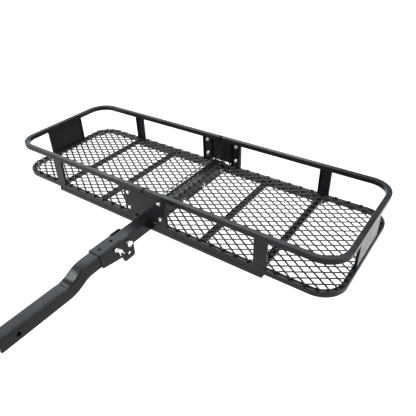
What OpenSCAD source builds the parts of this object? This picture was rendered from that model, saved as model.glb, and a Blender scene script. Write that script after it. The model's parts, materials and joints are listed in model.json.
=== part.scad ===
// Folding hitch cargo carrier: a two-piece steel basket on a tube that folds up
// about a pivot bolt at the end of a raised receiver shank.
// +X runs along the basket, -Y points to the vehicle, +Z is up, all in millimetres.
// The origin is the centre of the receiver pin hole, on the axis of the shank.

/* [Basket] */
// Outside length of the basket
basket_l = 1524; // [1400:2:1600]
// Outside width of the basket
basket_w = 533; // [480:1:560]
// Height from the underside of the bottom rail to the top of the top rail
basket_h = 155; // [140:1:170]
// Outside radius of the rail corners in plan
corner_r = 92; // [70:1:110]
// Gap between the two halves of the basket
split_gap = 4; // [2:0.5:6]

/* [Rails and bars] */
// Side of the square rail tube
rail = 20; // [18:1:22]
// Radius on the edges of the rail tube
rail_edge_r = 2.5; // [2:0.5:4]
// Wall of the rail tube
rail_wall = 1.5; // [1.2:0.1:1.8]
// Width of a cross bar
bar_w = 25; // [20:1:30]
// Height of a cross bar
bar_h = 12; // [10:1:14]
// Distance of the inner cross bars from the split
bar_inner_x = 252; // [230:1:270]
// Distance of the outer cross bars and posts from the split
bar_outer_x = 492; // [470:1:510]
// Height of the support tube under each long rail
support_h = 18; // [16:1:20]
// Half length of the support tubes
support_x = 505; // [490:1:520]

/* [Floor] */
// Long way of a mesh diamond, along X
mesh_long = 51; // [45:1:60]
// Short way of a mesh diamond, along Y
mesh_short = 32; // [28:1:36]
// Width of a mesh strand
strand = 3.6; // [3:0.2:4.4]
// Thickness of the mesh floor
mesh_t = 2.4; // [2:0.1:3]
// Length of the slope by which the floor climbs on to the centre tube
mesh_ramp = 34; // [28:1:40]

/* [Uprights and plates] */
// Width of an upright
upright_w = 48; // [40:1:55]
// Depth of the side flanges of an upright
upright_d = 11; // [8:1:14]
// Thickness of the uprights and plates
sheet = 3; // [2.5:0.5:4]
// Width of an end plate
end_plate_w = 200; // [160:2:240]
// Length of a joint plate
joint_plate_l = 200; // [190:2:210]
// Height of the front joint plate
front_plate_h = 102; // [95:1:108]
// Height of the rear joint plate
rear_plate_h = 107; // [95:1:108]
// Distance of the joint uprights and bolts from the split
joint_x = 76; // [70:1:80]
// Spacing of the two bolts on each joint upright
joint_bolt_pitch = 68; // [60:1:76]

/* [Main tube] */
// Outside of the square main tube and shank
tube = 50.8; // [50:0.1:50.8]
// Radius on the edges of the main tube and shank
tube_edge_r = 5; // [4:0.5:6]
// Wall of the main tube
tube_wall = 4; // [3:0.5:5]
// Height of the tube's top over the underside of the basket
tube_stand = 35.4; // [33:0.1:38]
// Distance of the inner through bolts from the middle of the basket
through_inner_y = 70; // [60:1:80]
// Distance of the outer through bolts from the middle of the basket
through_outer_y = 212; // [200:1:220]

/* [Shank] */
// Wall of the shank
shank_wall = 5; // [4:0.5:6]
// Height that the shank rises by
shank_rise = 30; // [20:1:60]
// Length over which the shank rises
shank_bend = 115; // [90:1:140]
// Distance from the pin hole to the vehicle end of the shank
shank_tail = 63.5; // [55:0.5:80]
// Distance from the pin hole to the start of the bend
shank_straight = 185; // [160:1:200]
// Radius of the receiver pin hole
pin_hole_r = 8.3; // [8.1:0.05:8.4]

/* [Hinge] */
// Distance from the pin hole to the pivot, along Y
pivot_y = 467; // [460:1:520]
// Distance from the pivot to the front of the basket
pivot_to_basket = 131; // [120:1:150]
// Distance from the pivot to each lock hole
lock_r = 48; // [46:0.5:50]
// Thickness of the hinge bracket
bracket_t = 4; // [4:0.5:6]
// Outside radius of the bends along the top of the hinge bracket
bracket_bend_r = 7; // [5:0.5:10]
// Gap between the main tube and each side of the bracket
side_gap = 0.5; // [0.3:0.1:0.8]
// Radius of the pivot bolt
pivot_r = 7.94; // [7.9:0.01:8]
// Radial clearance of the pivot bolt in its holes
pivot_fit = 0.06; // [0.03:0.01:0.09]
// Radius of the lock pin
lock_pin_r = 6.4; // [6:0.1:8]
// Radial clearance of the lock pin in its holes
lock_fit = 0.5; // [0.4:0.1:0.6]

/* [Hidden] */
$fn = 48;
eps = 0.01;

black = [0.20, 0.21, 0.22];
grey = [0.27, 0.28, 0.29];
mesh_black = [0.16, 0.17, 0.18];
zinc = [0.80, 0.82, 0.84];
plastic = [0.08, 0.08, 0.09];

// Heights
axis_z = shank_rise;
tube_top = axis_z + tube / 2;
basket_z = tube_top - tube_stand;
floor_z = basket_z + rail;
top_rail_z = basket_z + basket_h - rail;
upright_h = top_rail_z - floor_z;
joint_bolt_z = [top_rail_z - 14, top_rail_z - 14 - joint_bolt_pitch];

// Places along Y
tray_y = pivot_y + pivot_to_basket + basket_w / 2;
rail_y = basket_w / 2 - rail;
tube_tip_y = pivot_y - 73;
tube_end_y = tray_y + rail_y;
shank_end_y = pivot_y - 79;
upright_y = basket_w / 2 - sheet;
through_ys = [-through_outer_y, -through_inner_y, through_inner_y, through_outer_y];

// Places along X
tube_half = tube / 2;
tube_gap = 1;
bracket_in = tube_half + side_gap;
bracket_out = bracket_in + bracket_t;
angle_leg = 45;
lap_x = 10;
ramp_x = tube_half + sheet + 1;

// Fasteners
m8_r = 4;
m8_flats = 13;
m8_head = 5.3;
m10_r = 5;
m10_flats = 17;
m10_head = 6.4;
pivot_flats = 22;
pivot_head = 10;
pivot_washer_r = 14;
washer_t = 2;
bolt_play = 0.4;
thread_out = 4;

// ---------- Shapes that repeat ----------

// A rectangle with rounded corners, centred
module rounded(w, h, r) {
    square([w - 2 * r, h], center = true);
    square([w, h - 2 * r], center = true);
    for (x = [-1, 1], y = [-1, 1])
        translate([x * (w / 2 - r), y * (h / 2 - r)]) circle(r);
}

// The section of a rectangular tube
module tube_section(w, h, r, wall) {
    difference() {
        rounded(w, h, r);
        rounded(w - 2 * wall, h - 2 * wall, max(r - wall, 0.5));
    }
}

// A straight tube along +X from the origin
module tube_along_x(len, w, h, r, wall) {
    rotate([90, 0, 90]) linear_extrude(len) tube_section(w, h, r, wall);
}

// A straight tube along +Y from the origin
module tube_along_y(len, w, h, r, wall) {
    translate([0, len, 0]) rotate([90, 0, 0]) linear_extrude(len) tube_section(w, h, r, wall);
}

// A cylinder along +X from the origin
module rod_x(r, len) {
    rotate([0, 90, 0]) cylinder(r = r, h = len);
}

// A hexagon along +X from the origin
module hex_x(flats, len) {
    rotate([0, 90, 0]) cylinder(r = flats / sqrt(3), h = len, $fn = 6);
}

// A ring along +X from the origin
module ring_x(r_in, r_out, len) {
    difference() {
        rod_x(r_out, len);
        translate([-1, 0, 0]) rod_x(r_in, len + 2);
    }
}

// A nut along +X from the origin
module nut_x(r, flats, len) {
    difference() {
        hex_x(flats, len);
        translate([-1, 0, 0]) rod_x(r + 0.02, len + 2);
    }
}

// ---------- Shank and hinge ----------

bend_angle = 2 * atan(shank_rise / shank_bend);
bend_r = shank_bend / 2 / sin(bend_angle);

// One arc of the shank's bend, turning up or down from +Y at the origin
module shank_arc(up) {
    mirror([0, 0, up ? 0 : 1])
        translate([0, 0, bend_r])
            rotate([0, 90, 0])
                rotate_extrude(angle = bend_angle - band_angle)
                    translate([bend_r, 0]) rotate(90)
                        tube_section(tube, tube, tube_edge_r, shank_wall);
}

// The two arcs meet in a short straight band that is a hair thicker than the tube
band_angle = 0.7;
band_len = 5;
band_extra = 0.1;

module shank_band() {
    side = tube + 2 * band_extra;
    rotate([bend_angle, 0, 0]) translate([0, -band_len / 2, 0])
        tube_along_y(band_len, side, side, tube_edge_r + band_extra, shank_wall + 2 * band_extra);
}

module hitch_shank() {
    bend_y = shank_straight;
    top_y = shank_straight + shank_bend;
    color(black) difference() {
        union() {
            translate([0, -shank_tail, 0])
                tube_along_y(shank_tail + bend_y, tube, tube, tube_edge_r, shank_wall);
            translate([0, bend_y, 0]) shank_arc(true);
            translate([0, (bend_y + top_y) / 2, shank_rise / 2]) shank_band();
            translate([0, top_y, shank_rise]) rotate([0, 0, 180]) shank_arc(false);
            translate([0, top_y, shank_rise])
                tube_along_y(shank_end_y - top_y, tube, tube, tube_edge_r, shank_wall);
        }
        translate([-tube, 0, 0]) rod_x(pin_hole_r, 2 * tube);
    }
}

// The side of the hinge bracket, drawn about the pivot with Y to the right and Z up
bracket_top = tube / 2 + side_gap + bracket_t;
bracket_near = -131;
bend_end = -30;
drain_r = 6;
drain_ys = [-51, -107];

module bracket_side_outline() {
    far = 25;
    ear_r = 14;
    toe_r = 9;
    lobe = -lock_r - 24;
    heel_r = 14;
    heel = [-18, lobe + heel_r];
    heel_tilt = 19;
    difference() {
        union() {
            polygon([
                [bend_end, bracket_top], [far - ear_r, bracket_top], [far, bracket_top - ear_r],
                [far, lobe + toe_r], [far - toe_r, lobe], [heel[0], lobe],
                heel - heel_r * [cos(heel_tilt), sin(heel_tilt)],
                [-37, -43.5], [bracket_near + 3, -28], [bracket_near, -20],
                [bracket_near, bracket_top - bracket_bend_r], [bend_end, bracket_top - bracket_bend_r]
            ]);
            translate([far - ear_r, bracket_top - ear_r]) circle(ear_r);
            translate([far - toe_r, lobe + toe_r]) circle(toe_r);
            translate(heel) circle(heel_r);
        }
        circle(pivot_r + pivot_fit);
        translate([-lock_r, 0]) circle(lock_pin_r + lock_fit);
        translate([0, -lock_r]) circle(lock_pin_r + lock_fit);
    }
}

// The top of the bracket and the two bends that join it to the sides
module bracket_bends() {
    intersection() {
        translate([0, bracket_near, 0])
            tube_along_y(bend_end - bracket_near, 2 * bracket_out, 2 * bracket_top, bracket_bend_r, bracket_t);
        translate([-tube, bracket_near - 1, bracket_top - bracket_bend_r])
            cube([2 * tube, bend_end - bracket_near + 2, tube]);
    }
}

module hinge_bracket() {
    color(grey) translate([0, pivot_y, axis_z]) difference() {
        union() {
            for (x = [-bracket_out, bracket_in])
                translate([x, 0, 0]) rotate([90, 0, 90])
                    linear_extrude(bracket_t) bracket_side_outline();
            bracket_bends();
        }
        for (y = drain_ys)
            translate([0, y, 0]) cylinder(r = drain_r, h = tube);
    }
}

module pivot_bolt() {
    color(zinc) translate([0, pivot_y, axis_z]) {
        translate([-bracket_out - washer_t - thread_out - pivot_head, 0, 0])
            rod_x(pivot_r, 2 * bracket_out + 2 * washer_t + thread_out + pivot_head);
        translate([bracket_out + washer_t, 0, 0]) hex_x(pivot_flats, pivot_head);
    }
}

module pivot_washers() {
    color(black) for (x = [-bracket_out - washer_t, bracket_out])
        translate([x, pivot_y, axis_z]) ring_x(pivot_r + 0.1, pivot_washer_r, washer_t);
}

module pivot_nut() {
    color(zinc) translate([-bracket_out - washer_t - pivot_head, pivot_y, axis_z])
        nut_x(pivot_r, pivot_flats, pivot_head);
}

// The lock pin runs from a bent handle on the left to the clip on the right
clip_hole_x = bracket_out + 9;
clip_hole_r = 2;
pin_end_x = bracket_out + 16;
handle_x = -bracket_out - 14;
handle_bend = 16;

module lock_pin() {
    color(zinc) translate([0, pivot_y - lock_r, axis_z]) difference() {
        union() {
            translate([handle_x, 0, 0]) rod_x(lock_pin_r, pin_end_x - handle_x - 3);
            translate([pin_end_x - 3, 0, 0]) rod_x(lock_pin_r - 1.5, 3);
            translate([handle_x, 0, -handle_bend]) rotate([90, 0, 0])
                rotate_extrude(angle = 90, start = 90) translate([handle_bend, 0]) circle(lock_pin_r);
            translate([handle_x - handle_bend, 0, -handle_bend - 40]) cylinder(r = lock_pin_r, h = 40);
            translate([-bracket_out - 5, 0, 0]) rod_x(lock_pin_r + 4, 3);
        }
        translate([clip_hole_x, 0, 0]) rotate([clip_tilt, 0, 0])
            translate([0, -tube, 0]) rotate([-90, 0, 0]) cylinder(r = clip_hole_r, h = 2 * tube);
    }
}

// The clip is one bent wire: a straight leg through the pin, a loop, and a leg curved over the pin
clip_tilt = 125;
clip_wire = 1.6;
clip_loop = 6;
clip_loop_y = 21;
clip_leg = 26;
clip_inner_r = 3;
clip_over_r = lock_pin_r + clip_wire + 0.4;
clip_dip = 32;
wire_sides = 12;

// Points on an arc about a centre, with the first point left out
function arc_points(centre, r, from, turn, steps) =
    [for (i = [1 : steps]) centre + r * [cos(from + turn * i / steps), sin(from + turn * i / steps)]];

function unit(v) = v / norm(v);

// The direction of the wire at point i of a path, along the mitre between its two neighbours
function heading(path, i) =
    i == 0 ? unit(path[1] - path[0])
    : i == len(path) - 1 ? unit(path[i] - path[i - 1])
    : unit(unit(path[i + 1] - path[i]) + unit(path[i] - path[i - 1]));

function mitre(path, i) = i == 0 ? 1 : 1 / (heading(path, i) * unit(path[i] - path[i - 1]));

// A wire along a path in the XY plane, whose section has the area of a circle of radius r
module wire_along(path, r) {
    n = wire_sides;
    last = len(path) - 1;
    outer = r * sqrt(2 * PI / n / sin(360 / n));
    points = [
        for (i = [0 : last], k = [0 : n - 1])
            let (h = heading(path, i), a = (k + 0.5) * 360 / n)
            [
                path[i][0] - h[1] * outer * cos(a) * mitre(path, i),
                path[i][1] + h[0] * outer * cos(a) * mitre(path, i),
                outer * sin(a)
            ]
    ];
    sides = [
        for (i = [0 : last - 1], k = [0 : n - 1], half = [0, 1])
            let (a = i * n + k, b = i * n + (k + 1) % n)
            half == 0 ? [a, b + n, b] : [a, a + n, b + n]
    ];
    ends = [
        for (k = [1 : n - 2], end = [0, last * n])
            end == 0 ? [0, k, k + 1] : [end, end + k + 1, end + k]
    ];
    polyhedron(points, concat(sides, ends), convexity = 6);
}

module lock_pin_clip() {
    loop = [clip_loop_y, clip_loop];
    inner = (clip_over_r + clip_inner_r) * [cos(clip_dip), sin(clip_dip)];
    apart = norm(loop - inner);
    slope = atan2(loop[1] - inner[1], loop[0] - inner[0]) + asin((clip_loop + clip_inner_r) / apart);
    across = [-sin(slope), cos(slope)];
    tail = 4;
    flare = 25;
    flare_l = 12;
    path = concat(
        [[-clip_leg, 0], [clip_loop_y, 0]],
        arc_points(loop, clip_loop, -90, 180 + slope, 14),
        [inner - clip_inner_r * across],
        arc_points(inner, clip_inner_r, slope - 90, clip_dip - slope - 90, 6),
        arc_points([0, 0], clip_over_r, clip_dip, 90 - clip_dip, 5),
        [[-tail, clip_over_r], [-tail - flare_l * cos(flare), clip_over_r + flare_l * sin(flare)]]
    );
    color(zinc) translate([clip_hole_x, pivot_y - lock_r, axis_z])
        rotate([clip_tilt, 0, 0]) rotate([90, 0, 90]) wire_along(path, clip_wire);
}

// ---------- Main tube and supports ----------

// The ring that the lock pin sweeps through the tube while the basket folds up
module lock_slot() {
    r_out = lock_r + lock_pin_r + lock_fit;
    r_in = lock_r - lock_pin_r - lock_fit;
    translate([-tube, pivot_y, axis_z]) {
        translate([0, -lock_r, 0]) rod_x(lock_pin_r + lock_fit, 2 * tube);
        intersection() {
            difference() {
                rod_x(r_out, 2 * tube);
                translate([-1, 0, 0]) rod_x(r_in, 2 * tube + 2);
            }
            translate([0, -lock_r - tube, 0]) cube([2 * tube, lock_r + tube, tube]);
        }
    }
}

module main_tube() {
    color(black) difference() {
        translate([0, tube_tip_y, axis_z])
            tube_along_y(tube_end_y - tube_tip_y, tube, tube, tube_edge_r, tube_wall);
        translate([-tube, pivot_y, axis_z]) rod_x(pivot_r + pivot_fit, 2 * tube);
        lock_slot();
        for (y = through_ys)
            translate([-tube, tray_y + y, axis_z]) rod_x(m10_r + bolt_play, 2 * tube);
    }
}

module main_tube_plug() {
    side = tube - 2 * tube_wall;
    color(plastic) translate([0, tube_end_y - 1, axis_z]) rotate([90, 0, 0]) difference() {
        linear_extrude(18) rounded(side, side, 1);
        translate([0, 0, 4]) linear_extrude(18) rounded(side - 5, side - 5, 1);
    }
}

// A support tube under a long rail, from x = from to x = to; its face stands 2 mm out of the rail
module support(side, from, to) {
    support_w = rail + 2;
    color(black) translate([from, tray_y + side * (rail_y + support_w / 2), basket_z - support_h / 2])
        tube_along_x(to - from, support_w, support_h, 2, 1.5);
}

// ---------- Basket ----------

// Half a rail frame on the +X side: two straights, two corners and the end
module rail_half(z, front_x, rear_x) {
    cx = basket_l / 2 - corner_r;
    cy = basket_w / 2 - corner_r;
    mid = corner_r - rail / 2;
    translate([0, tray_y, z + rail / 2]) {
        translate([front_x, -cy - mid, 0]) tube_along_x(cx - front_x, rail, rail, rail_edge_r, rail_wall);
        translate([rear_x, cy + mid, 0]) tube_along_x(cx - rear_x, rail, rail, rail_edge_r, rail_wall);
        translate([cx + mid, -cy, 0]) tube_along_y(2 * cy, rail, rail, rail_edge_r, rail_wall);
        for (a = [0, 1])
            translate([cx, a == 0 ? -cy : cy, 0])
                rotate_extrude(angle = 90, start = a == 0 ? -90 : 0)
                    translate([mid, 0]) tube_section(rail, rail, rail_edge_r, rail_wall);
    }
}

module top_rail(side) {
    color(grey) mirror([side < 0 ? 1 : 0, 0, 0]) rail_half(top_rail_z, split_gap / 2, split_gap / 2);
}

module bottom_rail(side) {
    color(black) mirror([side < 0 ? 1 : 0, 0, 0])
        rail_half(basket_z, tube_half + tube_gap, split_gap / 2);
}

// A cross bar is a channel, open below, between the long bottom rails
module crossbar(x) {
    color(black) translate([x, tray_y, floor_z - bar_h / 2]) difference() {
        cube([bar_w, 2 * rail_y, bar_h], center = true);
        translate([0, 0, -sheet]) cube([bar_w - 2 * sheet, 2 * rail_y + 2, bar_h], center = true);
    }
}

// The angle along the inner edge of each half lies on the main tube and is bolted to its side
module centre_angle(side) {
    color(black) mirror([side < 0 ? 1 : 0, 0, 0]) difference() {
        translate([0, tray_y - rail_y, 0]) union() {
            translate([split_gap / 2, 0, tube_top])
                cube([tube_half + sheet - split_gap / 2, 2 * rail_y, sheet]);
            translate([tube_half, 0, tube_top + sheet - angle_leg]) cube([sheet, 2 * rail_y, angle_leg]);
        }
        for (y = through_ys)
            translate([0, tray_y + y, axis_z]) rod_x(m10_r + bolt_play, tube);
    }
}

// The floor's outline in plan on the +X side, clear of the uprights and the end plate
module floor_outline() {
    inset = 4;
    r = corner_r - inset;
    long_x = basket_l / 2 - inset;
    half_y = basket_w / 2 - inset;
    foot = upright_w + 2;
    foot_d = upright_d + sheet + 2;
    joint_foot_x = joint_x + foot / 2 + 4;
    difference() {
        union() {
            translate([ramp_x, -half_y]) square([long_x - r - ramp_x, 2 * half_y]);
            translate([long_x - r - eps, -half_y + r]) square([r + eps, 2 * (half_y - r)]);
            for (y = [-1, 1]) translate([long_x - r, y * (half_y - r)]) circle(r);
            translate([lap_x, -rail_y + 1]) square([ramp_x - lap_x + eps, 2 * rail_y - 2]);
        }
        for (side = [0, 1]) mirror([0, side, 0]) {
            translate([ramp_x - 1, rail_y - 1]) square([joint_foot_x - ramp_x + 1, rail + 2]);
            translate([bar_outer_x - foot / 2, upright_y + 1 - foot_d]) square([foot, foot_d + 4]);
        }
        translate([basket_l / 2 - foot_d, -end_plate_w / 2 - 2]) square([foot_d, end_plate_w + 4]);
    }
}

// One diamond opening of the floor
module diamond() {
    w = mesh_long / 2 - strand * 0.95;
    h = mesh_short / 2 - strand * 0.6;
    polygon([[-w, 0], [0, -h], [w, 0], [0, h]]);
}

// Side views of the flat floor and of the strip that climbs from it on to the centre angle
angle_top = tube_top + sheet;
ramp_end = ramp_x + mesh_ramp;
flat_profile = [
    [ramp_end, floor_z], [basket_l / 2, floor_z],
    [basket_l / 2, floor_z + mesh_t], [ramp_end, floor_z + mesh_t]
];
ramp_profile = [
    [0, angle_top], [ramp_x, angle_top], [ramp_end, floor_z],
    [ramp_end, floor_z + mesh_t], [ramp_x, angle_top + mesh_t], [0, angle_top + mesh_t]
];

module mesh_sheet(side, profile) {
    columns = ceil(basket_l / mesh_long) + 1;
    rows = ceil(basket_w / mesh_short / 2) + 1;
    color(mesh_black) mirror([side < 0 ? 1 : 0, 0, 0]) translate([0, tray_y, 0]) intersection() {
        translate([0, 0, floor_z - 1]) linear_extrude(angle_top - floor_z + mesh_t + 2) difference() {
            floor_outline();
            for (i = [0 : columns], j = [-rows : rows])
                translate([(i + 0.5) * mesh_long / 2, (j + (i % 2) / 2) * mesh_short]) diamond();
        }
        translate([0, basket_w / 2, 0]) rotate([90, 0, 0]) linear_extrude(basket_w) polygon(profile);
    }
}

// An upright is a channel between the rails, open to the inside; its web is drawn at +Y
module upright(x, side, bolted) {
    color(black) translate([x, tray_y, floor_z]) mirror([0, side < 0 ? 1 : 0, 0]) difference() {
        translate([-upright_w / 2, upright_y - upright_d, 0]) cube([upright_w, upright_d, upright_h]);
        translate([-upright_w / 2 + sheet, upright_y - upright_d - 1, -1])
            cube([upright_w - 2 * sheet, upright_d - sheet + 1, upright_h + 2]);
        if (bolted) for (z = joint_bolt_z)
            translate([0, upright_y + 1, z - floor_z]) rotate([90, 0, 0])
                cylinder(r = m8_r + bolt_play, h = sheet + 2);
    }
}

module end_plate(side) {
    flange = 10;
    inset = 4;
    color(grey) mirror([side < 0 ? 1 : 0, 0, 0])
        translate([basket_l / 2 - inset - flange, tray_y, floor_z]) difference() {
            translate([0, -end_plate_w / 2, 0]) cube([flange, end_plate_w, upright_h]);
            translate([-1, -end_plate_w / 2 + sheet, -1])
                cube([flange - sheet + 1, end_plate_w - 2 * sheet, upright_h + 2]);
        }
}

// A joint plate joins the two halves on the outside; the front one is notched over the main tube
module joint_plate(side, height) {
    corner = 6;
    middle_z = top_rail_z - height / 2;
    color(grey) translate([0, tray_y + side * (basket_w / 2 - sheet / 2), middle_z]) rotate([90, 0, 0])
        translate([0, 0, -sheet / 2]) linear_extrude(sheet) difference() {
            rounded(joint_plate_l, height - 1, corner);
            for (x = [-joint_x, joint_x], z = joint_bolt_z)
                translate([x, z - middle_z]) circle(m8_r + bolt_play);
            if (side < 0) translate([-tube_half - side_gap, -height])
                square([tube + 2 * side_gap, height + tube_top + side_gap - middle_z]);
        }
}

// ---------- Fasteners of the basket ----------

// Places each child at the eight joint bolts, pointing out of the basket along +X
module at_joint_bolts() {
    for (side = [-1, 1], x = [-joint_x, joint_x], z = joint_bolt_z)
        translate([x, tray_y + side * basket_w / 2, z]) rotate([0, 0, side * 90]) children();
}

module joint_bolts() {
    grip = 2 * sheet + washer_t;
    color(zinc) at_joint_bolts() {
        hex_x(m8_flats, m8_head);
        translate([-grip - m8_head - thread_out / 2, 0, 0]) rod_x(m8_r, grip + m8_head + thread_out / 2);
    }
}

module joint_washers() {
    color(zinc) at_joint_bolts()
        translate([-2 * sheet - washer_t, 0, 0]) ring_x(m8_r + 0.1, 8, washer_t);
}

module joint_nuts() {
    color(zinc) at_joint_bolts()
        translate([-2 * sheet - washer_t - m8_head, 0, 0]) nut_x(m8_r, m8_flats, m8_head);
}

through_x = tube_half + sheet;

module through_bolts() {
    color(zinc) for (y = through_ys) translate([0, tray_y + y, axis_z]) {
        translate([-through_x - washer_t - m10_head - thread_out, 0, 0])
            rod_x(m10_r, 2 * through_x + 2 * washer_t + m10_head + thread_out);
        translate([through_x + washer_t, 0, 0]) hex_x(m10_flats, m10_head);
    }
}

module through_washers() {
    color(zinc) for (y = through_ys, x = [-through_x - washer_t, through_x])
        translate([x, tray_y + y, axis_z]) ring_x(m10_r + 0.1, 10, washer_t);
}

module through_nuts() {
    color(zinc) for (y = through_ys)
        translate([-through_x - washer_t - m10_head, tray_y + y, axis_z])
            nut_x(m10_r, m10_flats, m10_head);
}

// ---------- Nodes ----------

hitch_shank();
hinge_bracket();
pivot_bolt();
pivot_washers();
pivot_nut();
lock_pin();
lock_pin_clip();
main_tube();
main_tube_plug();
support(-1, -support_x, -tube_half);  // front_left_support
support(-1, tube_half, support_x);  // front_right_support
support(1, -support_x, support_x);  // rear_support
bottom_rail(-1);  // left_bottom_rail
bottom_rail(1);  // right_bottom_rail
top_rail(-1);  // left_top_rail
top_rail(1);  // right_top_rail
crossbar(-bar_outer_x);  // left_outer_crossbar
crossbar(-bar_inner_x);  // left_inner_crossbar
crossbar(bar_inner_x);  // right_inner_crossbar
crossbar(bar_outer_x);  // right_outer_crossbar
centre_angle(-1);  // left_centre_angle
centre_angle(1);  // right_centre_angle
through_bolts();
through_washers();
through_nuts();
mesh_sheet(-1, flat_profile);  // left_mesh_floor
mesh_sheet(1, flat_profile);  // right_mesh_floor
mesh_sheet(-1, ramp_profile);  // left_mesh_ramp
mesh_sheet(1, ramp_profile);  // right_mesh_ramp
end_plate(-1);  // left_end_plate
end_plate(1);  // right_end_plate
upright(-bar_outer_x, -1, false);  // front_left_post
upright(bar_outer_x, -1, false);  // front_right_post
upright(-bar_outer_x, 1, false);  // rear_left_post
upright(bar_outer_x, 1, false);  // rear_right_post
upright(-joint_x, -1, true);  // front_left_joint_upright
upright(joint_x, -1, true);  // front_right_joint_upright
upright(-joint_x, 1, true);  // rear_left_joint_upright
upright(joint_x, 1, true);  // rear_right_joint_upright
joint_plate(-1, front_plate_h);  // front_joint_plate
joint_plate(1, rear_plate_h);  // rear_joint_plate
joint_bolts();
joint_washers();
joint_nuts();
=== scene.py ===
"""The folding hitch cargo carrier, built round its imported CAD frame. All lengths are in metres."""

import json
import math
import random

import bmesh
import bpy
from mathutils import Matrix, Vector


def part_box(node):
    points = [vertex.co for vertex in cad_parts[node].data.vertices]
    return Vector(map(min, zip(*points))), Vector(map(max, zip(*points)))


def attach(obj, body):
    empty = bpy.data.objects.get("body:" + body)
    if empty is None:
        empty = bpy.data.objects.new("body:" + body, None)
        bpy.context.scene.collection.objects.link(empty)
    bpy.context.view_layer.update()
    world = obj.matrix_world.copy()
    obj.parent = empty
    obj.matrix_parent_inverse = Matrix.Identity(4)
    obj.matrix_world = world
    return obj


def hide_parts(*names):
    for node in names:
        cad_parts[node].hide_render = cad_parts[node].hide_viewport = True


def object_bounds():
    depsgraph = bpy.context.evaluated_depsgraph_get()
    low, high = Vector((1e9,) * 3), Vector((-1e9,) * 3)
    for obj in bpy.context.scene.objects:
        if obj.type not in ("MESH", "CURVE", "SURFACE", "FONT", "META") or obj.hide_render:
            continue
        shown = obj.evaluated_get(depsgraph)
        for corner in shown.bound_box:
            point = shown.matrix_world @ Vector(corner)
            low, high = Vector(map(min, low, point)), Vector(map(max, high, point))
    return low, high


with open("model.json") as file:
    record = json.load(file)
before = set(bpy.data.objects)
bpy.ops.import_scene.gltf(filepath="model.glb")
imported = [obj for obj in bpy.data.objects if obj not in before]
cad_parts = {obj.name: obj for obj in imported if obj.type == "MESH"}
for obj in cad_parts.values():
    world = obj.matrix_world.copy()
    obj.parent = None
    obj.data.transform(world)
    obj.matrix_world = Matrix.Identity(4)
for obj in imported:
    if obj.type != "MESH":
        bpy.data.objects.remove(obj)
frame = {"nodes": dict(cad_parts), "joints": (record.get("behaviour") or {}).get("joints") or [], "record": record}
cad_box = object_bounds()
nodes = frame["nodes"]
chance = random.Random(7)

# ---------- Places from the frame ----------

PIVOT = Vector(next(j["pos_m"] for j in frame["joints"] if j["name"] == "basket_fold"))
FLOOR_PARTS = [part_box(name) for name in nodes if name.startswith("right_mesh_")]
FLOOR_LOW = Vector(min(low[axis] for low, high in FLOOR_PARTS) for axis in range(3))
FLOOR_HIGH = Vector(max(high[axis] for low, high in FLOOR_PARTS) for axis in range(3))
RAIL_LOW, RAIL_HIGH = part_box("right_bottom_rail")
TUBE_LOW, TUBE_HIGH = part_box("main_tube")
TRAY_Y = (FLOOR_LOW.y + FLOOR_HIGH.y) / 2
RAIL = RAIL_HIGH.z - RAIL_LOW.z
RAIL_TOP = RAIL_HIGH.z
TUBE_HALF = TUBE_HIGH.x

X_AXIS = Vector((1, 0, 0))
Y_AXIS = Vector((0, 1, 0))


# ---------- Meshes ----------

PIECE_SMOOTH = math.radians(32)
CAD_SMOOTH = math.radians(35)


def new_object(name, bm):
    """Turns a bmesh into an object of the scene."""
    mesh = bpy.data.meshes.new(name)
    bm.to_mesh(mesh)
    bm.free()
    obj = bpy.data.objects.new(name, mesh)
    bpy.context.scene.collection.objects.link(obj)
    return obj


def add_piece(name, bm, body, slot, replaces=()):
    """Turns a bmesh into a piece that rides on a CAD body and takes its slot's material."""
    bmesh.ops.recalc_face_normals(bm, faces=bm.faces)
    obj = new_object(name, bm)
    obj.data.materials.append(MATERIAL_OF_SLOT[slot])
    obj.data.shade_smooth()
    mark_sharp_edges(obj.data)
    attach(obj, body)
    if replaces:
        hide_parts(*replaces)
    return obj


def mark_sharp_edges(mesh):
    """Marks the edges of a piece's own mesh that turn by PIECE_SMOOTH or more as sharp."""
    bm = bmesh.new()
    bm.from_mesh(mesh)
    for edge in bm.edges:
        edge.smooth = len(edge.link_faces) == 2 and edge.calc_face_angle(0) < PIECE_SMOOTH
    bm.to_mesh(mesh)
    bm.free()


def loft(bm, rings, closed=False):
    """Skins a list of rings of points, with a cap at each end unless the rings close on themselves."""
    loops = [[bm.verts.new(p) for p in ring] for ring in rings]
    pairs = list(zip(loops, loops[1:]))
    if closed:
        pairs.append((loops[-1], loops[0]))
    for a, b in pairs:
        n = len(a)
        for i in range(n):
            bm.faces.new((a[i], a[(i + 1) % n], b[(i + 1) % n], b[i]))
    if not closed:
        bm.faces.new(loops[0][::-1])
        bm.faces.new(loops[-1])


def turned(bm, matrix, xs, radius, segments):
    """A solid round the X axis whose radius is radius(x, angle), moved by matrix."""
    rings = []
    for x in xs:
        ring = []
        for i in range(segments):
            a = 2 * math.pi * i / segments
            r = radius(x, a)
            ring.append(matrix @ Vector((x, r * math.cos(a), r * math.sin(a))))
        rings.append(ring)
    loft(bm, rings)


def ring_solid(bm, matrix, x0, x1, inner, outer, edge, segments=40):
    """A washer or collar round the X axis with eased outer edges."""
    outline = [
        (x0, inner), (x0, outer - edge), (x0 + edge, outer),
        (x1 - edge, outer), (x1, outer - edge), (x1, inner),
    ]
    rings = []
    for i in range(segments):
        a = 2 * math.pi * i / segments
        rings.append([matrix @ Vector((x, r * math.cos(a), r * math.sin(a))) for x, r in outline])
    loft(bm, rings, closed=True)


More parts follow.
